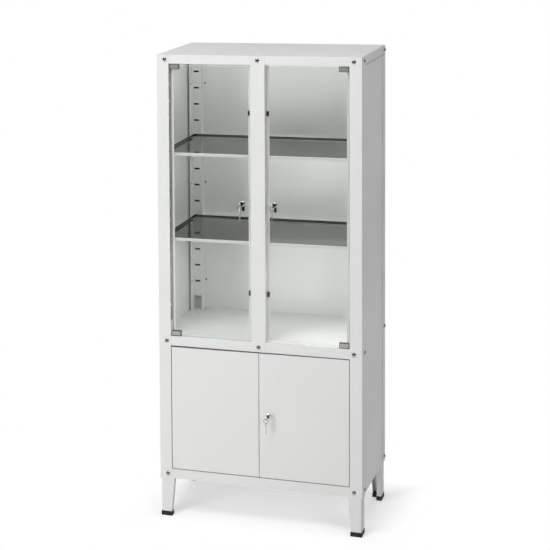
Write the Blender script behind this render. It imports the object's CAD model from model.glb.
"""Glass door medical cabinet: finishes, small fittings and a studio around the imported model."""

import math

import bpy
import numpy as np
from bpy.props import FloatProperty, FloatVectorProperty, PointerProperty
from mathutils import Euler, Matrix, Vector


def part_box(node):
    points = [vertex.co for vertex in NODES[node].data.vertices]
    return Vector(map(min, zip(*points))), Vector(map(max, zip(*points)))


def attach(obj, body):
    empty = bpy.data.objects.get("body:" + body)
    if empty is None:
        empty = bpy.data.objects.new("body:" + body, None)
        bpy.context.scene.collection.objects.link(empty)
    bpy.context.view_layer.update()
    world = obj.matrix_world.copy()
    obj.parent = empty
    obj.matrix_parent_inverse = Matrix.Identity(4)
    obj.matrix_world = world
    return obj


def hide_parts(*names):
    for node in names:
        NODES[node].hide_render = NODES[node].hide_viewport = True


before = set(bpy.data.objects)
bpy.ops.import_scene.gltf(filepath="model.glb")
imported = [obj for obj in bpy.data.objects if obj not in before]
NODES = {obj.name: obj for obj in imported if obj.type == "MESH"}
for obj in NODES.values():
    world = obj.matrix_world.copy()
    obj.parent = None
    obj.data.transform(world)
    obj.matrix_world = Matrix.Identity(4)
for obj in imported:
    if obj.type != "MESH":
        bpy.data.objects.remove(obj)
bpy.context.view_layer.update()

bl_info = {
    "name": "Glass Door Medical Cabinet",
    "version": (1, 0, 0),
    "blender": (4, 5, 0),
    "location": "3D View > Sidebar > Cabinet",
    "description": "Finishes, fittings and studio of a sheet-steel medical cabinet with glass doors",
    "category": "Object",
}

SIDES = ("left", "right")
ENDS = ("front", "rear")
LOCKS = ("glass_left", "glass_right", "steel_door")
SPARE_BODY = {lock: f"spare_key_{lock}" for lock in LOCKS}
TURN_BODY = {lock: f"lock_turn_{lock}" for lock in LOCKS}
ROUND = 24  # sides of a round shape

# Lengths in metres. The hollow of a rear upright starts this far inside the lowest corner of its box,
# and ends this far below the lid.
HOLLOW_SIDE = 0.0168
HOLLOW_FACE = 0.0315
HOLLOW_FOOT = 0.0630
HOLLOW_HEAD = 0.002
HOLLOW_SOFT = 0.0003  # soft edge of that mask
SEAM_REACH = 0.0030  # grime down from the top of a steel door
SEAM_FOOT = 0.0008  # grime up from its bottom
SEAM_DEPTH = 0.012  # grime back from its front
SEAM_SOFT = 0.0004  # soft edge of the grime
SHELF_RIM = 0.010  # height of a shelf's rims
SHELF_FOLD = 0.060  # satin strip along the rear rim
SHELF_EDGE = (0.0013, 0.0017)  # satin front edge, and where it has faded
SHELF_FLAT = (0.0002, 0.0005)  # the strip stops this far above the plate
CLIP_LINER = (0.0024, 0.0008)  # dark rim of a clip, and its soft edge
GLASS_RIM = (0.0010, 0.0002)  # ground rim of a pane, and its soft edge
RIVET_LEVELS = (0.830, 1.231, 1.636)
RIVET_SHEET = 0.0012  # sheet that a rivet sits on
RIVET_IN_WING = 0.014  # from the front of an upright
RIVET_IN_FLANGE = 0.008  # from the inner side of an upright

# Soft boxes of the studio: name, place, target, size, and whether mirrors show the light.
SOFT_BOXES = {
    "key": ("key_soft_box", (-1.7, -2.8, 0.7), (0.0, -0.18, 0.9), 1.1, False),
    "top": ("top_panel_light", (0.2, -1.2, 4.4), (0.0, -0.4, 0.0), 3.4, True),
    "high": ("high_soft_box", (-0.6, -1.9, 3.7), (0.0, -0.1, 0.9), 1.3, True),
    "side": ("side_soft_box", (2.8, -2.4, 2.2), (0.0, 0.0, 1.2), 1.5, False),
    "rear": ("rear_soft_box", (0.8, 4.0, 1.8), (0.0, 0.2, 0.9), 1.6, False),
}
# Strips in the shelf spaces: what they hang under, and how far behind and below them their target lies.
BAYS = {
    "upper": ("top_panel", 1.0, 0.0),
    "middle": ("shelf_upper", 1.0, 0.0),
    "lower": ("shelf_lower", 0.25, 1.0),
}
STRIP_INSET = 0.045  # behind the front of the posts
STRIP_DROP = 0.0105  # below what the strip hangs under
STRIP_WIDTH = 0.03
FLOOR_RADIUS = 9.0
FLOOR_SHEET = 0.01
FLOOR_SIDES = 64
SHADE_MIDDLE = 0.02  # middle, in Y, of the floor that shows shadows
SHADE_HALF = (0.40, 0.20)  # half its width and depth
SHADE_FADE = (-0.04, 0.16)  # it fades to white between these distances from its outline
FLAG_REACH = 4.6
FLAG_BEARINGS = (-62, 120, 80)  # first and last bearing from the front, in degrees, and their number
FLAG_LEVELS = (0.02, 5.5, 6)  # first and last height, and their number


def color(name, description, default):
    """A colour property in scene-linear red, green and blue."""
    return FloatVectorProperty(
        name=name, description=description, default=default, subtype="COLOR", size=3, min=0.0, max=1.0
    )


def length(name, description, default):
    """A length property in metres."""
    return FloatProperty(name=name, description=description, default=default, min=0.0, unit="LENGTH")


def offset(name, description, default):
    """A length property in metres that may be negative."""
    return FloatProperty(name=name, description=description, default=default, unit="LENGTH")


def power(name, description, default):
    """A light's power in watts."""
    return FloatProperty(name=name, description=description, default=default, min=0.0, unit="POWER")


def angle(name, description, degrees):
    """An angle property, given in degrees."""
    radians = math.radians(degrees)
    return FloatProperty(name=name, description=description, default=radians, unit="ROTATION")


def share(name, description, default):
    """A property between nothing and all."""
    return FloatProperty(
        name=name, description=description, default=default, min=0.0, max=1.0, subtype="FACTOR"
    )


def slope(name, description, default):
    """A rise over a run."""
    return FloatProperty(name=name, description=description, default=default, precision=4)


class CabinetFinishes(bpy.types.PropertyGroup):
    """Colours and gloss of the cabinet's surfaces"""

    paint: color("Paint", "White powder coat on the steel sheets", (0.868, 0.880, 0.863))
    paint_roughness: share("Paint roughness", "Gloss of the powder coat", 0.42)
    shelf_steel: color("Shelf steel", "Mirror-bright steel of the shelves", (0.25, 0.255, 0.25))
    shelf_edge: color("Shelf edge", "Satin front edge of the shelves", (0.80, 0.80, 0.78))
    shelf_fold: color("Shelf fold", "Satin strip of the shelves along the rear rim", (0.40, 0.40, 0.39))
    shelf_roughness: share("Shelf roughness", "Gloss of the shelves", 0.07)
    clip_metal: color("Clip metal", "Satin grey metal of the glass clips", (0.52, 0.525, 0.51))
    clip_liner: color("Clip liner", "Dark liner between clip and glass", (0.10, 0.105, 0.10))
    zinc: color("Zinc", "Plating of the pivot pins", (0.30, 0.30, 0.28))
    core: color("Lock cores", "Dark steel of the lock cores and key rings", (0.05, 0.05, 0.045))
    chrome: color("Chrome", "Plating of locks and keys", (0.80, 0.79, 0.72))
    bolt: color("Bolts", "Nickel of the bolt heads", (0.34, 0.34, 0.33))
    rivet: color("Rivets", "Dull steel of the rivets", (0.16, 0.16, 0.155))
    strike: color("Strikes", "Pale plating of the lock strikes", (0.94, 0.94, 0.92))
    rubber: color("Rubber", "Foot caps and bumpers", (0.012, 0.012, 0.012))
    glass_tint: color("Glass tint", "Light left after one face of the glass", (0.985, 0.989, 0.985))
    glass_edge: color("Glass edge", "Ground edge of the panes", (0.84, 0.88, 0.86))


class CabinetFittings(bpy.types.PropertyGroup):
    """Sizes of the small fittings"""

    bolt_diameter: length("Bolt head", "Diameter of the domed bolt heads", 0.016)
    bolt_height: length("Bolt height", "Height of the domed bolt heads", 0.0056)
    bolt_inset: length("Bolt inset", "Distance of front and rear bolts from the sides", 0.032)
    side_bolt_front: length("Side bolt, front", "Distance of these bolts from the front", 0.038)
    side_bolt_rear: length("Side bolt, rear", "Distance of these bolts from the back", 0.018)
    return_height: length("Return height", "Height of the strips inside the seam under the lid", 0.018)
    return_sheet: length("Return sheet", "Thickness of those strips", 0.001)
    return_gap: length("Return gap", "Room round those strips", 0.0002)
    rivet_diameter: length("Rivet head", "Diameter of the rivets on the shelf uprights", 0.0075)
    rivet_height: length("Rivet height", "Height of the rivet heads", 0.0012)
    key_bow: length("Key bow", "Diameter of the bow of the keys in the locks", 0.022)
    spare_bow: length("Spare bow", "Diameter of the bow of the spare keys", 0.020)
    key_hole: length("Key hole", "Diameter of a spare key's hole, and width of a key's slot", 0.006)
    key_slot: length("Key slot", "Length of a key's slot, for room round its ring", 0.0128)
    key_hole_offset: length("Hole offset", "Distance of the hole from the middle of the bow", 0.0055)
    key_blade: length("Key blade", "Width of a key's blade", 0.008)
    key_thickness: length("Key thickness", "Thickness of a key", 0.0022)
    ring_drop: length("Ring drop", "Distance between the holes that a ring joins", 0.0175)
    ring_wire: length("Ring wire", "Diameter of the ring's wire", 0.0016)


class CabinetStudio(bpy.types.PropertyGroup):
    """Light, floor and camera"""

    ambient: share("Ambient", "Strength of the even light from all sides", 0.12)
    key_power: power("Key light", "Power of the low soft box at the front left", 33.5)
    top_power: power("Top light", "Power of the overhead panel", 19.5)
    high_power: power("High light", "Power of the steep soft box above the doors", 37.5)
    side_power: power("Side light", "Power of the soft box at the right", 22.0)
    rear_power: power("Rear light", "Power of the soft box behind the cabinet", 22.0)
    upper_left: power("Upper bay, left", "Power of the left strip behind the top rail", 0.27)
    upper_right: power("Upper bay, right", "Power of the right strip behind the top rail", 0.32)
    middle_left: power("Middle bay, left", "Power of the left strip under the upper shelf", 0.26)
    middle_right: power("Middle bay, right", "Power of the right strip under the upper shelf", 0.64)
    lower_left: power("Lower bay, left", "Power of the left strip under the lower shelf", 0.22)
    lower_right: power("Lower bay, right", "Power of the right strip under the lower shelf", 0.58)
    strip_left: offset("Left strips", "Place of the left strips, from the middle", -0.22)
    strip_right: offset("Right strips", "Place of the right strips, from the middle", 0.26)
    strip_length: length("Strip length", "Length of each strip", 0.14)
    floor_color: color("Floor", "Pale studio floor", (0.92, 0.92, 0.92))
    flag_color: color("Flag", "Dark screen that bright metal mirrors", (0.03, 0.03, 0.03))
    floor_lift: share("Floor lift", "Light added to the floor as the camera sees it", 0.42)
    camera_place: FloatVectorProperty(
        name="Camera", description="Place of the camera", default=(1.6586, -5.6481, 2.5072),
        subtype="TRANSLATION", unit="LENGTH",
    )
    camera_yaw: angle("Yaw", "Turn of the camera to the left", 18.70)
    camera_pitch: angle("Pitch", "Tilt of the camera downwards", 4.06)
    camera_roll: angle("Roll", "Lean of the camera", -0.416)
    camera_lens: FloatProperty(name="Lens", description="Focal length", default=103.05, unit="CAMERA")
    camera_fall: slope("Front fall", "Slope by which the lens is lowered", 0.1942)
    camera_slide: slope("Front slide", "Slope by which the lens is moved sideways", -0.0437)
    camera_skew: slope("Skew", "Fall of level lines across the picture", -0.0194)


class Wire:
    """A socket of a node tree that takes part in Python arithmetic."""

    def __init__(self, tree, socket=None):
        self.tree = tree
        self.socket = socket

    def node(self, kind, inputs, settings=None, output=0):
        """Add a node of a type, apply its settings, fill its sockets, and hand back one output."""
        made = self.tree.nodes.new(kind)
        for key, value in (settings or {}).items():
            setattr(made, key, value)
        for key, value in inputs.items():
            if isinstance(value, Wire):
                self.tree.links.new(value.socket, made.inputs[key])
            else:
                made.inputs[key].default_value = value
        return Wire(self.tree, made.outputs[output] if len(made.outputs) else None)

    def math(self, operation, *values):
        """A Math node on values."""
        return self.node("ShaderNodeMath", dict(enumerate(values)), {"operation": operation})

    def __add__(self, other):
        return self.math("ADD", self, other)

    __radd__ = __add__

    def __sub__(self, other):
        return self.math("SUBTRACT", self, other)

    def __rsub__(self, other):
        return self.math("SUBTRACT", other, self)

    def __mul__(self, other):
        return self.math("MULTIPLY", self, other)

    __rmul__ = __mul__

    def clamp(self):
        """The value held between 0 and 1."""
        return self.node("ShaderNodeClamp", {"Value": self})

    def ramp(self, low, high):
        """A smooth rise from 0 at low to 1 at high."""
        inputs = {"Value": self, "From Min": low, "From Max": high}
        return self.node("ShaderNodeMapRange", inputs, {"interpolation_type": "SMOOTHSTEP"})

    def tint(self, shade_a, shade_b):
        """A colour between two shades or colours, by this value."""
        ends = [shade if isinstance(shade, Wire) else (*shade, 1.0) for shade in (shade_a, shade_b)]
        inputs = {"Factor": self, 6: ends[0], 7: ends[1]}
        return self.node("ShaderNodeMix", inputs, {"data_type": "RGBA"}, output=2)


class Finish:
    """A new material with its tree, its Object coordinates and its output."""

    def __init__(self, name):
        self.material = bpy.data.materials.new(name)
        self.material.use_nodes = True
        self.tree = self.material.node_tree
        self.tree.nodes.clear()
        self.wire = Wire(self.tree)
        self.place = self.wire.node("ShaderNodeTexCoord", {}, output=3)

    def axis(self, letter):
        """One Object coordinate as a value."""
        return self.wire.node("ShaderNodeSeparateXYZ", {0: self.place}, output="XYZ".index(letter))

    def noise(self, scale, detail=3.0, stretch=(1.0, 1.0, 1.0)):
        """Noise on Object coordinates, in cells per metre, stretched along the axes."""
        spread = self.wire.node("ShaderNodeMapping", {"Vector": self.place, "Scale": stretch})
        inputs = {"Vector": spread, "Scale": scale, "Detail": detail}
        return self.wire.node("ShaderNodeTexNoise", inputs)

    def bump(self, height, strength, distance):
        """A Bump node on a height."""
        inputs = {"Height": height, "Strength": strength, "Distance": distance}
        return self.wire.node("ShaderNodeBump", inputs)

    def principled(self, **inputs):
        """A Principled surface whose socket names are written with underscores."""
        named = {key.replace("_", " "): value for key, value in inputs.items()}
        return self.wire.node("ShaderNodeBsdfPrincipled", named)

    def close(self, surface):
        """Link the surface to the output and hand back the material."""
        self.wire.node("ShaderNodeOutputMaterial", {"Surface": surface})
        return self.material


def shaded(shade, gain):
    """A colour made lighter or darker."""
    return tuple(min(1.0, part * gain) for part in shade)


def upright_hollow(made):
    """1 inside the hollow behind the slotted face of a rear upright, which no light reaches, else 0."""
    low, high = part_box("shelf_upright_rear_right")
    across = made.wire.math("ABSOLUTE", made.axis("X"))
    back, up = made.axis("Y"), made.axis("Z")
    soft = HOLLOW_SOFT
    side, face, foot = low.x + HOLLOW_SIDE, low.y + HOLLOW_FACE, low.z + HOLLOW_FOOT
    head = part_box("top_panel")[0].z - HOLLOW_HEAD
    inside = across.ramp(side - soft, side) * (1.0 - across.ramp(high.x, high.x + soft))
    inside = inside * back.ramp(face - soft, face)
    inside = inside * (1.0 - back.ramp(high.y + soft, high.y + 2 * soft))
    return inside * up.ramp(foot - soft, foot) * (1.0 - up.ramp(head, head + soft))


def lid_seam(made):
    """Grime in the seam between the lid and the side panels."""
    lid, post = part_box("top_panel")[0].z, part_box("post_front_right")[1].y
    low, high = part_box("side_panel_right")
    across, up = made.wire.math("ABSOLUTE", made.axis("X")), made.axis("Z")
    soft = SEAM_SOFT
    inside = up.ramp(high.z - 2 * soft, high.z - soft) * (1.0 - up.ramp(lid + soft, lid + 2 * soft))
    behind = made.axis("Y").ramp(post - soft, post)
    return inside * behind * across.ramp(low.x - 2 * soft, low.x - soft) * 0.7


def door_seam(made):
    """Grime in the seams over and under the steel doors, widest at the top left, near their front."""
    low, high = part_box("steel_door_left")
    rail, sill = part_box("mid_floor")[0].z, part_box("bottom_floor")[1].z
    across, back, up = made.axis("X"), made.axis("Y"), made.axis("Z")
    soft = SEAM_SOFT
    reach = SEAM_REACH * (1.0 - 0.6 * across.ramp(low.x, -low.x))
    above = (up - high.z + reach).ramp(-soft, soft)
    above = above * (1.0 - (up - rail - 0.3 * reach).ramp(-soft, soft))
    under = (up - sill).ramp(-2 * soft, -soft) * (1.0 - (up - low.z - SEAM_FOOT).ramp(-soft, soft))
    front = 1.0 - back.ramp(low.y + SEAM_DEPTH, low.y + SEAM_DEPTH + 0.001)
    inside = made.wire.math("MAXIMUM", above, 0.7 * under) * front
    side = made.wire.math("ABSOLUTE", across)
    return inside * (1.0 - side.ramp(-low.x + soft, -low.x + 2 * soft)) * 0.85


def paint_finish(finishes):
    """Satin powder coat: broad drifts of tone, fine orange peel, and a little grime low down."""
    made = Finish("white_powder_coat")
    paint = tuple(finishes.paint)
    drift = made.noise(2.2, 4.0).ramp(0.3, 0.7)
    speck = made.noise(240.0, 2.0)
    low = 1.0 - made.axis("Z").ramp(0.0, 0.30)
    dust = (made.noise(26.0, 5.0).ramp(0.42, 0.75) * low * 0.5 + drift * 0.35 + speck * 0.15).clamp()
    peel = made.noise(620.0, 2.0)
    seams = made.wire.math("MAXIMUM", lid_seam(made), door_seam(made))
    dark = made.wire.math("MAXIMUM", upright_hollow(made), seams)
    return made.close(
        made.principled(
            Base_Color=dark.tint(dust.tint(paint, shaded(paint, 0.955)), (0.015, 0.015, 0.015)),
            Roughness=finishes.paint_roughness + 0.10 * (drift - 0.5) + 0.05 * (speck - 0.5),
            Specular_IOR_Level=0.3,
            Normal=made.bump(peel, 0.10, 0.0002),
        )
    )


def metal_finish(name, shade, roughness, grain, stretch=(1.0, 1.0, 1.0), smudge=14.0, metal=1.0):
    """Bare or plated metal: a stretched grain, and smudges that dull the gloss."""
    made = Finish(name)
    grained = made.noise(grain, 3.0, stretch)
    dull = made.noise(smudge, 5.0).ramp(0.35, 0.8)
    return made.close(
        made.principled(
            Base_Color=(grained * 0.6 + dull * 0.4).tint(shaded(shade, 1.05), shaded(shade, 0.90)),
            Roughness=roughness * (0.8 + 0.5 * dull + 0.25 * grained),
            Metallic=metal,
            Normal=made.bump(grained, 0.05, 0.0001),
        )
    )


def shelf_finish(node, finishes):
    """Mirror-bright steel: a faint grain, smudges, a pale front edge and a satin strip at the rear."""
    made = Finish(f"polished_{node}")
    low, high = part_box(node)
    back, foot = made.axis("Y"), high.z - SHELF_RIM
    edge = 1.0 - back.ramp(*(low.y + part for part in SHELF_EDGE))
    flat = 1.0 - made.axis("Z").ramp(*(foot + part for part in SHELF_FLAT))
    fold = back.ramp(high.y - SHELF_FOLD, high.y - 0.8 * SHELF_FOLD) * flat
    grained = made.noise(3.0, 3.0, (1.0, 160.0, 160.0))
    dull = made.noise(9.0, 5.0).ramp(0.35, 0.8)
    steel, pale, bend = finishes.shelf_steel, finishes.shelf_edge, finishes.shelf_fold
    tone = grained * 0.6 + dull * 0.4
    polished = tone.tint(shaded(steel, 1.05), shaded(steel, 0.92))
    satin = tone.tint(pale, shaded(pale, 0.94))
    gloss = finishes.shelf_roughness * (0.8 + 0.5 * dull + 0.25 * grained)
    return made.close(
        made.principled(
            Base_Color=fold.tint(edge.tint(polished, satin), tone.tint(bend, shaded(bend, 0.94))),
            Roughness=gloss + 0.35 * (edge + fold),
            Metallic=1.0 - 0.9 * (edge + fold),
            Normal=made.bump(grained, 0.05, 0.0001),
        )
    )


def rubber_finish(finishes):
    """Matt black rubber with a fine moulded grain and paler dust low down."""
    made = Finish("black_rubber")
    grain = made.noise(900.0, 3.0)
    dust = made.noise(60.0, 4.0).ramp(0.45, 0.75) * (1.0 - made.axis("Z").ramp(0.0, 0.02))
    shade = tuple(finishes.rubber)
    return made.close(
        made.principled(
            Base_Color=dust.tint(shade, (0.05, 0.05, 0.05)),
            Roughness=0.58 + 0.25 * grain,
            Normal=made.bump(grain, 0.2, 0.0002),
        )
    )


def rim_mask(made, node, rim, soft):
    """1 on the rim of an upright plate, measured from the outline of its box in X and Z, else 0."""
    low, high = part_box(node)
    middle, half = (low + high) / 2, (high - low) / 2
    from_x = made.wire.math("ABSOLUTE", made.axis("X") - middle.x)
    from_z = made.wire.math("ABSOLUTE", made.axis("Z") - middle.z)
    return made.wire.math("MAXIMUM", from_x - (half.x - rim), from_z - (half.z - rim)).ramp(-soft, soft)


def clip_finish(node, finishes):
    """Satin grey metal with a brushed grain, framed by the dark liner that grips the glass."""
    made = Finish(f"satin_{node}")
    liner = rim_mask(made, node, *CLIP_LINER)
    grain = made.noise(90.0, 3.0, (1.0, 14.0, 14.0))
    dull = made.noise(60.0, 5.0).ramp(0.35, 0.8)
    metal = tuple(finishes.clip_metal)
    satin = (grain * 0.6 + dull * 0.4).tint(shaded(metal, 1.05), shaded(metal, 0.90))
    return made.close(
        made.principled(
            Base_Color=liner.tint(satin, tuple(finishes.clip_liner)),
            Roughness=0.32 + 0.12 * dull + 0.08 * grain,
            Metallic=0.6 - 0.6 * liner,
            Normal=made.bump(grain, 0.05, 0.0001),
        )
    )


def glass_finish(name, node, finishes):
    """Clear float glass: straight through but for the gloss of its outer faces, and a ground edge."""
    made = Finish(name)
    edge = rim_mask(made, node, *GLASS_RIM)
    smear = made.noise(5.0, 5.0, (1.0, 1.0, 0.4)).ramp(0.4, 0.8)
    outside = 1.0 - made.wire.node("ShaderNodeNewGeometry", {}, output=6)
    gleam = made.wire.node("ShaderNodeFresnel", {"IOR": 1.5}) * outside
    clear = made.wire.node("ShaderNodeBsdfTransparent", {"Color": (*finishes.glass_tint, 1.0)})
    mirror = made.principled(
        Base_Color=(0.9, 0.93, 0.92, 1.0), Metallic=1.0, Roughness=0.01 + 0.04 * smear
    )
    matt = smear.tint(finishes.glass_edge, shaded(finishes.glass_edge, 0.8))
    ground = made.principled(Base_Color=matt, Roughness=0.35)
    pane = made.wire.node("ShaderNodeMixShader", {0: gleam, 1: clear, 2: mirror})
    return made.close(made.wire.node("ShaderNodeMixShader", {0: edge * 0.75, 1: pane, 2: ground}))


def dress(material, *names):
    """Give CAD nodes one material."""
    for name in names:
        data = NODES[name].data
        data.materials.clear()
        data.materials.append(material)


def add_piece(name, points, faces, material, body, slot):
    """A new mesh object at the origin that rides on a body, smooth but for its creases."""
    mesh = bpy.data.meshes.new(name)
    mesh.from_pydata(points.tolist(), [], faces)
    mesh.shade_smooth()
    mesh.set_sharp_from_angle(angle=math.radians(40))
    mesh.materials.append(material)
    piece = bpy.data.objects.new(name, mesh)
    bpy.context.scene.collection.objects.link(piece)
    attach(piece, body)
    return piece


def revolved(radii, heights, sides=ROUND):
    """Surface of revolution about Z: a profile's inner points become rings, its two ends are poles."""
    angle = np.arange(sides) * 2 * np.pi / sides
    ring = np.stack([np.cos(angle), np.sin(angle)], axis=1)
    rings = radii[1:-1, None, None] * ring[None]
    lift = np.broadcast_to(heights[1:-1, None, None], (len(radii) - 2, sides, 1))
    body = np.concatenate([rings, lift], axis=2).reshape(-1, 3)
    points = np.vstack([body, [[0, 0, heights[0]], [0, 0, heights[-1]]]])
    row = np.arange(len(radii) - 3)[:, None] * sides
    here, after = np.arange(sides)[None], (np.arange(sides)[None] + 1) % sides
    corners = [row + here, row + sides + here, row + sides + after, row + after]
    quads = np.stack(corners, axis=2).reshape(-1, 4)
    last = (len(radii) - 3) * sides
    first_fan = np.stack([np.full(sides, len(body)), here[0], after[0]], axis=1)
    last_fan = np.stack([np.full(sides, len(body) + 1), last + after[0], last + here[0]], axis=1)
    return points, quads, np.vstack([first_fan, last_fan])


def copied(points, quads, triangles, centres, axes):
    """Copies of a shape with its Z axis turned to each given axis and its origin at each centre."""
    centres, axes = np.asarray(centres, float), np.asarray(axes, float)
    helper = np.where(np.abs(axes[:, 2:]) > 0.9, [[1.0, 0.0, 0.0]], [[0.0, 0.0, 1.0]])
    across = np.cross(helper, axes)
    across /= np.linalg.norm(across, axis=1, keepdims=True)
    turn = np.stack([across, np.cross(axes, across), axes], axis=1)
    everything = np.einsum("pi,nij->npj", points, turn) + centres[:, None]
    step = (np.arange(len(centres)) * len(points))[:, None, None]
    squares = (quads[None] + step).reshape(-1, 4).tolist()
    fans = (triangles[None] + step).reshape(-1, 3).tolist()
    return everything.reshape(-1, 3), squares + fans


def domed_head(diameter, height):
    """Profile of a dome: a quarter ellipse over a short straight skirt, closed by a flat base."""
    skirt = 0.25 * height
    quarter = np.linspace(0, np.pi / 2, 8)
    radii = np.concatenate([diameter / 2 * np.sin(quarter), [diameter / 2, 0]])
    heights = np.concatenate([skirt + (height - skirt) * np.cos(quarter), [0, 0]])
    return revolved(radii, heights)


def wire_ring(centre, radius, wire, sides=48, round_wire=10):
    """Torus that lies in the X and Z plane: a small circle carried round a large one."""
    u = (np.arange(sides) * 2 * np.pi / sides)[:, None]
    v = (np.arange(round_wire) * 2 * np.pi / round_wire)[None]
    reach = radius + wire / 2 * np.cos(v)
    level = np.broadcast_to(wire / 2 * np.sin(v), (sides, round_wire))
    points = np.stack([reach * np.cos(u), level, reach * np.sin(u)], axis=2)
    return points.reshape(-1, 3) + np.asarray(centre), looped_quads(sides, round_wire)[:, ::-1].tolist()


def looped_quads(rows, columns):
    """Quads of a grid that closes on itself in both directions."""
    here = np.arange(rows)[:, None] * columns
    there = (here + columns) % (rows * columns)
    column = np.arange(columns)[None]
    beside = (column + 1) % columns
    corners = [here + column, here + beside, there + beside, there + column]
    return np.stack(np.broadcast_arrays(*corners), axis=2).reshape(-1, 4)


def flat_key(bow, slot, fittings, blade_length):
    """Key with rounded rims, as a closed section carried round its ring hole.

    At each angle the outline lies where a ray from the hole's middle leaves the bow or the blade,
    whichever is further out. The hole is an ellipse, as long across the key as the slot. The section
    runs from the hole's rim over one face, round the outer rim and back over the other face. The blade
    points along -Z and the thickness lies along X.
    """
    hole_offset, thickness = fittings.key_hole_offset, fittings.key_thickness
    evenly = np.linspace(0, 2 * np.pi, 96, endpoint=False)
    at_tip = np.pi * 1.5 + np.linspace(-0.3, 0.3, 33)
    angle = np.unique(np.concatenate([evenly, at_tip]))
    ray = np.stack([np.cos(angle), np.sin(angle)], axis=1)
    rise = hole_offset * ray[:, 1]
    out_bow = -rise + np.sqrt(rise**2 - hole_offset**2 + (bow / 2) ** 2)
    down = np.maximum(-ray[:, 1], 1e-6)
    out_side = fittings.key_blade / 2 / np.maximum(np.abs(ray[:, 0]), 1e-6)
    out_tip = (hole_offset + bow / 2 + blade_length) / down
    out_blade = np.where(ray[:, 1] < 0, np.minimum(out_side, out_tip), 0.0)
    reach = np.maximum(out_bow, out_blade)
    rim = thickness * 0.3
    half = thickness / 2
    hole = 1 / np.hypot(ray[:, 0] / (slot / 2), ray[:, 1] / (fittings.key_hole / 2))
    face = [hole, hole + rim, reach - rim, reach]
    radius = np.stack(face + face[::-1], axis=1)
    level = np.array([half - rim, half, half, half - rim, rim - half, -half, -half, rim - half])
    across = np.broadcast_to(level[None], radius.shape)
    points = np.stack([across, radius * ray[:, :1], radius * ray[:, 1:]], axis=2)
    return points.reshape(-1, 3), looped_quads(len(angle), radius.shape[1])


def folded_strip(low, high, rounding):
    """Sheet strip between two corners: a rounded rectangle carried along the longest side."""
    low, high = np.asarray(low, float), np.asarray(high, float)
    along = int(np.argmax(high - low))
    axes = [(along + 1) % 3, (along + 2) % 3]
    angle = (np.arange(ROUND) + 0.5) * 2 * np.pi / ROUND
    round_part = np.stack([np.cos(angle), np.sin(angle)], axis=1)
    half = (high - low)[axes] / 2
    section = (low + high)[axes] / 2 + np.sign(round_part) * (half - rounding) + round_part * rounding
    points = np.empty((2, ROUND, 3))
    points[:, :, axes] = section
    points[:, :, along] = np.array([[low[along]], [high[along]]])
    here = np.arange(ROUND)
    after = (here + 1) % ROUND
    quads = np.stack([here, after, after + ROUND, here + ROUND], axis=1).tolist()
    return points.reshape(-1, 3), quads + [here[::-1].tolist(), (here + ROUND).tolist()]


class CABINET_OT_paint_casing(bpy.types.Operator):
    """Coat the sheet-steel casing, legs, uprights and lower doors with white powder coat"""

    bl_idname = "cabinet.paint_casing"
    bl_label = "Paint Casing"

    def execute(self, context):
        corners = [f"{end}_{side}" for end in ENDS for side in SIDES]
        painted = ["top_panel", "mid_floor", "bottom_floor", "back_panel", "mullion"]
        painted += [f"{kind}_{side}" for kind in ("side_panel", "steel_door") for side in SIDES]
        uprights = ("post", "shelf_upright", "leg")
        painted += [f"{kind}_{corner}" for kind in uprights for corner in corners]
        dress(paint_finish(context.scene.cabinet_finishes), *painted)
        return {"FINISHED"}


class CABINET_OT_fold_returns(bpy.types.Operator):
    """Fold the strips that close the seam between the lid and the panels from the inside"""

    bl_idname = "cabinet.fold_returns"
    bl_label = "Fold Returns"

    def execute(self, context):
        fittings = context.scene.cabinet_fittings
        paint = bpy.data.materials["white_powder_coat"]
        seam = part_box("top_panel")[0].z
        bottom, top = seam - fittings.return_height / 2, seam + fittings.return_height / 2
        panel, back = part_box("side_panel_right")[0].x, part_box("back_panel")[0].y
        front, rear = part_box("post_front_right")[1].y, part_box("post_rear_right")[0].y
        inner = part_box("shelf_upright_rear_right")[0].x
        gap, sheet = fittings.return_gap, fittings.return_sheet
        near, far = panel - gap - sheet, panel - gap
        strips = {
            "right": ((near, front + gap, bottom), (far, rear - gap, top)),
            "left": ((-far, front + gap, bottom), (-near, rear - gap, top)),
            "rear": ((gap - inner, back - gap - sheet, bottom), (inner - gap, back - gap, top)),
        }
        for side, (low, high) in strips.items():
            strip = folded_strip(low, high, sheet * 0.4)
            add_piece(f"lid_return_{side}", *strip, paint, "cabinet", "white_paint")
        return {"FINISHED"}


class CABINET_OT_polish_shelves(bpy.types.Operator):
    """Polish the stainless shelves to a near mirror"""

    bl_idname = "cabinet.polish_shelves"
    bl_label = "Polish Shelves"

    def execute(self, context):
        finishes = context.scene.cabinet_finishes
        for shelf in ("shelf_upper", "shelf_lower"):
            dress(shelf_finish(shelf, finishes), shelf)
        return {"FINISHED"}


class CABINET_OT_glaze_doors(bpy.types.Operator):
    """Give the glass doors their panes and the grey corner clips"""

    bl_idname = "cabinet.glaze_doors"
    bl_label = "Glaze Doors"

    def execute(self, context):
        finishes = context.scene.cabinet_finishes
        for side in SIDES:
            pane = f"glass_pane_{side}"
            dress(glass_finish(f"clear_glass_{side}", pane, finishes), pane)
            for clip in (f"glass_clip_{side}_top", f"glass_clip_{side}_bottom"):
                dress(clip_finish(clip, finishes), clip)
        return {"FINISHED"}


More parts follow.
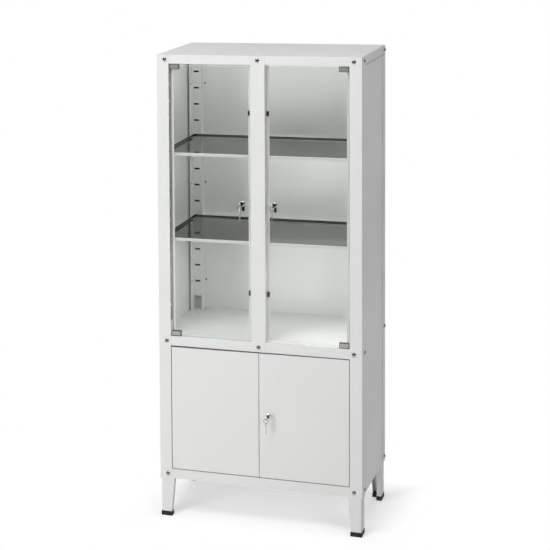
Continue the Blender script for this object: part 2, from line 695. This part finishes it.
class CABINET_OT_fit_hardware(bpy.types.Operator):
    """Plate the pivots, strikes and locks, and fit the rubber caps and bumpers"""

    bl_idname = "cabinet.fit_hardware"
    bl_label = "Fit Hardware"

    def execute(self, context):
        finishes = context.scene.cabinet_finishes
        zinc = metal_finish("zinc_plate", finishes.zinc, 0.30, 180.0, smudge=70.0)
        chrome = metal_finish("chrome_plate", finishes.chrome, 0.12, 300.0, smudge=90.0)
        ends = [f"{side}_{end}" for side in SIDES for end in ("top", "bottom")]
        dress(zinc, *[f"{kind}_{end}" for kind in ("glass_pivot", "door_pivot") for end in ends])
        dark = metal_finish("core_steel", finishes.core, 0.3, 180.0, smudge=70.0)
        dress(dark, *[f"lock_core_{lock}" for lock in LOCKS])
        pale = metal_finish("strike_plate", finishes.strike, 0.3, 180.0, smudge=70.0, metal=0.0)
        dress(pale, *[f"lock_strike_{side}" for side in SIDES])
        dress(chrome, *[f"lock_{lock}" for lock in LOCKS])
        caps = [f"foot_cap_{end}_{side}" for end in ENDS for side in SIDES]
        bumpers = [f"bumper_{side}_{level}" for side in SIDES for level in ("upper", "lower")]
        dress(rubber_finish(finishes), *caps, *bumpers)
        return {"FINISHED"}


class CABINET_OT_hang_keys(bpy.types.Operator):
    """Put a key in each lock, with a ring and a spare key hanging from its bow"""

    bl_idname = "cabinet.hang_keys"
    bl_label = "Hang Keys"

    def execute(self, context):
        finishes, fittings = context.scene.cabinet_finishes, context.scene.cabinet_fittings
        nickel = metal_finish("nickel_plate", finishes.chrome, 0.2, 260.0, smudge=120.0)
        dark = metal_finish("ring_wire", finishes.core, 0.25, 260.0, smudge=120.0)
        hole_depth = fittings.key_bow / 2 - fittings.key_hole_offset
        for lock in LOCKS:
            low, high = (np.array(corner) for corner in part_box(f"key_{lock}"))
            middle = (low + high) / 2
            hole = np.array([middle[0], low[1] + hole_depth, middle[2]])
            blade = high[1] - low[1] - fittings.key_bow
            points, quads = flat_key(fittings.key_bow, fittings.key_slot, fittings, blade)
            turned = np.stack([points[:, 0], -points[:, 2], points[:, 1]], axis=1)
            shape = (turned + hole, quads.tolist())
            key = add_piece(f"cut_key_{lock}", *shape, nickel, TURN_BODY[lock], "chrome_plate")
            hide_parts(f"key_{lock}")

            low, high = (np.array(corner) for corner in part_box(f"spare_key_{lock}"))
            below = hole - [0, 0, fittings.ring_drop]
            blade = high[2] - low[2] - fittings.spare_bow
            points, quads = flat_key(fittings.spare_bow, fittings.key_hole, fittings, blade)
            shape = (points + below, quads.tolist())
            spare = add_piece(f"cut_spare_key_{lock}", *shape, nickel, SPARE_BODY[lock], "chrome_plate")
            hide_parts(f"spare_key_{lock}")

            points, faces = wire_ring((hole + below) / 2, fittings.ring_drop / 2, fittings.ring_wire)
            add_piece(f"key_ring_{lock}", points, faces, dark, SPARE_BODY[lock], "chrome_plate")
        return {"FINISHED"}


class CABINET_OT_drive_bolts(bpy.types.Operator):
    """Set the domed bolts that hold posts, rails and mullion together"""

    bl_idname = "cabinet.drive_bolts"
    bl_label = "Drive Bolts"

    def execute(self, context):
        finishes, fittings = context.scene.cabinet_finishes, context.scene.cabinet_fittings
        nickel = metal_finish("dark_nickel", finishes.bolt, 0.16, 300.0, smudge=90.0)
        left, front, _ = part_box("post_front_left")[0]
        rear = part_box("post_rear_left")[1].y
        levels = [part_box(rail) for rail in ("top_panel", "mid_floor", "bottom_floor")]
        rails = [(low.z + high.z) / 2 for low, high in levels]
        inset = fittings.bolt_inset
        across = (left + inset, -left - inset)
        along = (front + fittings.side_bolt_front, rear - fittings.side_bolt_rear)
        on_mullion = [(0, front, z) for z in rails[:2]]
        faces = {
            "front": ([(x, front, z) for x in across for z in rails] + on_mullion, (0, -1, 0)),
            "rear": ([(x, rear, z) for x in across for z in rails], (0, 1, 0)),
            "left": ([(left, y, z) for y in along for z in rails], (-1, 0, 0)),
            "right": ([(-left, y, z) for y in along for z in rails], (1, 0, 0)),
        }
        head = domed_head(fittings.bolt_diameter, fittings.bolt_height)
        for face, (centres, axis) in faces.items():
            points, polygons = copied(*head, centres, [axis] * len(centres))
            add_piece(f"bolts_{face}", points, polygons, nickel, "cabinet", "chrome_plate")
        return {"FINISHED"}


class CABINET_OT_set_rivets(bpy.types.Operator):
    """Rivet the slotted uprights to the casing"""

    bl_idname = "cabinet.set_rivets"
    bl_label = "Set Rivets"

    def execute(self, context):
        finishes, fittings = context.scene.cabinet_finishes, context.scene.cabinet_fittings
        steel = metal_finish("rivet_steel", finishes.rivet, 0.32, 180.0, smudge=70.0, metal=0.5)
        count = len(RIVET_LEVELS)
        centres, axes = [], []
        for side, inward in (("left", 1), ("right", -1)):
            low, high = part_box(f"shelf_upright_rear_{side}")
            outer, inner = (low.x, high.x) if inward > 0 else (high.x, low.x)
            wing = (outer + inward * RIVET_SHEET, low.y + RIVET_IN_WING)
            flange = (inner - inward * RIVET_IN_FLANGE, high.y - RIVET_SHEET)
            centres += [(*place, z) for place in (wing, flange) for z in RIVET_LEVELS]
            axes += [(inward, 0, 0)] * count + [(0, -1, 0)] * count
        head = domed_head(fittings.rivet_diameter, fittings.rivet_height)
        points, polygons = copied(*head, centres, axes)
        add_piece("upright_rivets", points, polygons, steel, "cabinet", "zinc_steel")
        return {"FINISHED"}


def floor_finish(studio):
    """Pale floor that takes shadows near the object and turns to plain white further out."""
    made = Finish("studio_floor")
    beyond = [
        made.wire.math("ABSOLUTE", made.axis("X")) - SHADE_HALF[0],
        made.wire.math("ABSOLUTE", made.axis("Y") - SHADE_MIDDLE) - SHADE_HALF[1],
    ]
    far = made.wire.math("MAXIMUM", *beyond).ramp(*SHADE_FADE)
    seen = seen_rays(made.wire)
    grain = made.noise(30.0, 3.0)
    pale = tuple(studio.floor_color)
    tone = grain.tint(pale, shaded(pale, 0.99))
    matt = made.principled(Base_Color=tone, Roughness=0.9, Specular_IOR_Level=0.1)
    white, black = (1.0, 1.0, 1.0, 1.0), (0.0, 0.0, 0.0, 1.0)
    glow = made.wire.node("ShaderNodeEmission", {"Color": white, "Strength": 1.0})
    dark = made.wire.node("ShaderNodeEmission", {"Color": black, "Strength": 0.0})
    lift = made.wire.node("ShaderNodeEmission", {"Color": white, "Strength": studio.floor_lift})
    lifted = made.wire.node("ShaderNodeMixShader", {0: seen, 1: dark, 2: lift})
    near = made.wire.node("ShaderNodeAddShader", {0: matt, 1: lifted})
    return made.close(made.wire.node("ShaderNodeMixShader", {0: far * seen, 1: near, 2: glow}))


def flag_finish(studio):
    """Dark cloth with a faint weave."""
    made = Finish("dark_cloth")
    dark = tuple(studio.flag_color)
    weave = made.noise(40.0).tint(dark, shaded(dark, 0.7))
    return made.close(made.principled(Base_Color=weave, Roughness=0.9))


def seen_rays(wire):
    """1 for rays from the camera and for those that mirrors and glass pass on, else 0."""
    camera = wire.node("ShaderNodeLightPath", {}, output="Is Camera Ray")
    glossy = wire.node("ShaderNodeLightPath", {}, output="Is Glossy Ray")
    through = wire.node("ShaderNodeLightPath", {}, output="Is Transmission Ray")
    return (camera + glossy + through).clamp()


class CABINET_OT_build_studio(bpy.types.Operator):
    """Lay the floor, set the lights and the sky, and place the camera"""

    bl_idname = "cabinet.build_studio"
    bl_label = "Build Studio"

    def execute(self, context):
        studio = context.scene.cabinet_studio
        self.lay_floor(studio)
        self.raise_flag(studio)
        self.light_sky(context.scene, studio)
        for lamp, (name, place, target, size, mirrored) in SOFT_BOXES.items():
            self.hang_light(name, place, target, size, getattr(studio, f"{lamp}_power"), mirrored)
        self.light_bays(studio)
        self.place_camera(context.scene, studio)
        context.scene.view_settings.view_transform = "Standard"
        return {"FINISHED"}

    def lay_floor(self, studio):
        """A wide disc under the feet: a ring of points round a pole on each side of a thin slab."""
        radii = FLOOR_RADIUS * np.array([0, 1, 1, 0])
        heights = -FLOOR_SHEET * np.array([0, 0, 1, 1])
        points, quads, fans = revolved(radii, heights, FLOOR_SIDES)
        mesh = bpy.data.meshes.new("studio_floor")
        mesh.from_pydata(points.tolist(), [], quads.tolist() + fans.tolist())
        mesh.materials.append(floor_finish(studio))
        floor = bpy.data.objects.new("studio_floor", mesh)
        bpy.context.scene.collection.objects.link(floor)

    def raise_flag(self, studio):
        """A dark screen that only mirrors see: part of a cylinder, by bearing and height."""
        bearing = np.radians(np.linspace(*FLAG_BEARINGS))[:, None]
        height = np.linspace(*FLAG_LEVELS)[None]
        grid = np.broadcast_arrays(FLAG_REACH * np.sin(bearing), -FLAG_REACH * np.cos(bearing), height)
        across, up = FLAG_BEARINGS[2], FLAG_LEVELS[2]
        here = (np.arange(across - 1)[:, None] * up + np.arange(up - 1)[None]).reshape(-1)
        quads = np.stack([here, here + 1, here + up + 1, here + up], axis=1)
        mesh = bpy.data.meshes.new("studio_flag")
        mesh.from_pydata(np.stack(grid, axis=2).reshape(-1, 3).tolist(), [], quads.tolist())
        mesh.materials.append(flag_finish(studio))
        flag = bpy.data.objects.new("studio_flag", mesh)
        bpy.context.scene.collection.objects.link(flag)
        flag.visible_camera = False
        flag.visible_diffuse = False
        flag.visible_shadow = False
        flag.visible_transmission = False

    def light_sky(self, scene, studio):
        """Even ambient light that shows as plain white."""
        world = bpy.data.worlds.new("studio_sky")
        world.use_nodes = True
        world.node_tree.nodes.clear()
        wire = Wire(world.node_tree)
        strength = studio.ambient + (1.0 - studio.ambient) * seen_rays(wire)
        sky = wire.node("ShaderNodeBackground", {"Color": (1.0, 1.0, 1.0, 1.0), "Strength": strength})
        wire.node("ShaderNodeOutputWorld", {"Surface": sky})
        scene.world = world

    def light_bays(self, studio):
        """Two thin strips at the top of each shelf space. The lowest face down, the others back."""
        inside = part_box("post_front_left")[0].y + STRIP_INSET
        for bay, (ceiling, back, down) in BAYS.items():
            for side in SIDES:
                name, size = f"{bay}_{side}", studio.strip_length
                x, z = getattr(studio, f"strip_{side}"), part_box(ceiling)[0].z - STRIP_DROP
                place, target = (x, inside, z), (x, inside + back, z - down)
                watts = getattr(studio, name)
                self.hang_light(f"{name}_strip", place, target, size, watts, thickness=STRIP_WIDTH)

    def hang_light(self, name, place, target, size, watts, mirrored=False, thickness=None):
        """A soft light that faces a point, square or a strip. Mirrors show it only if that is asked."""
        lamp = bpy.data.lights.new(name, "AREA")
        lamp.energy = watts
        lamp.shape = "RECTANGLE"
        lamp.size = size
        lamp.size_y = thickness or size
        holder = bpy.data.objects.new(name, lamp)
        bpy.context.scene.collection.objects.link(holder)
        aim = np.subtract(target, place)
        holder.location = place
        holder.rotation_euler = Matrix(self.facing(aim)).to_euler()
        holder.visible_camera = False
        holder.visible_glossy = mirrored

    def facing(self, aim):
        """Axes of a lamp whose -Z points along a direction."""
        back = -aim / np.linalg.norm(aim)
        side = np.cross([0.0, 0.0, 1.0] if abs(back[2]) < 0.99 else [0.0, 1.0, 0.0], back)
        side /= np.linalg.norm(side)
        return np.stack([side, np.cross(back, side), back], axis=1).tolist()

    def place_camera(self, scene, studio):
        """The camera on its stand: turned by yaw, pitch and roll, sheared by fall, slide and skew."""
        stand = bpy.data.objects.new("camera_stand", None)
        turn = Euler((math.pi / 2 - studio.camera_pitch, 0.0, studio.camera_yaw)).to_matrix()
        stand.rotation_euler = (turn @ Matrix.Rotation(studio.camera_roll, 3, "Z")).to_euler()
        stand.location = studio.camera_place
        camera = bpy.data.cameras.new("studio_camera")
        camera.lens = studio.camera_lens
        holder = bpy.data.objects.new("studio_camera", camera)
        holder.parent = stand
        moved = Matrix.Identity(4)
        moved[1][2] = studio.camera_fall
        moved[0][2] = studio.camera_slide
        moved[1][0] = studio.camera_skew
        holder.matrix_parent_inverse = moved
        scene.collection.objects.link(stand)
        scene.collection.objects.link(holder)
        scene.camera = holder


STEPS = (
    CABINET_OT_paint_casing,
    CABINET_OT_fold_returns,
    CABINET_OT_polish_shelves,
    CABINET_OT_glaze_doors,
    CABINET_OT_fit_hardware,
    CABINET_OT_hang_keys,
    CABINET_OT_drive_bolts,
    CABINET_OT_set_rivets,
    CABINET_OT_build_studio,
)


class CABINET_PT_sidebar(bpy.types.Panel):
    """Steps and settings of the cabinet"""

    bl_idname = "CABINET_PT_sidebar"
    bl_label = "Medical Cabinet"
    bl_space_type = "VIEW_3D"
    bl_region_type = "UI"
    bl_category = "Cabinet"

    def draw(self, context):
        for step in STEPS:
            self.layout.operator(step.bl_idname)
        scene = context.scene
        for group in (scene.cabinet_finishes, scene.cabinet_fittings, scene.cabinet_studio):
            column = self.layout.box().column()
            for key in group.__annotations__:
                column.prop(group, key)


CLASSES = (CabinetFinishes, CabinetFittings, CabinetStudio, *STEPS, CABINET_PT_sidebar)


def register():
    for each in CLASSES:
        bpy.utils.register_class(each)
    bpy.types.Scene.cabinet_finishes = PointerProperty(type=CabinetFinishes)
    bpy.types.Scene.cabinet_fittings = PointerProperty(type=CabinetFittings)
    bpy.types.Scene.cabinet_studio = PointerProperty(type=CabinetStudio)


def unregister():
    del bpy.types.Scene.cabinet_studio
    del bpy.types.Scene.cabinet_fittings
    del bpy.types.Scene.cabinet_finishes
    for each in reversed(CLASSES):
        bpy.utils.unregister_class(each)


def main():
    register()
    bpy.ops.cabinet.paint_casing()
    bpy.ops.cabinet.fold_returns()
    bpy.ops.cabinet.polish_shelves()
    bpy.ops.cabinet.glaze_doors()
    bpy.ops.cabinet.fit_hardware()
    bpy.ops.cabinet.hang_keys()
    bpy.ops.cabinet.drive_bolts()
    bpy.ops.cabinet.set_rivets()
    bpy.ops.cabinet.build_studio()
    bpy.context.view_layer.update()


if __name__ == "__main__":
    main()
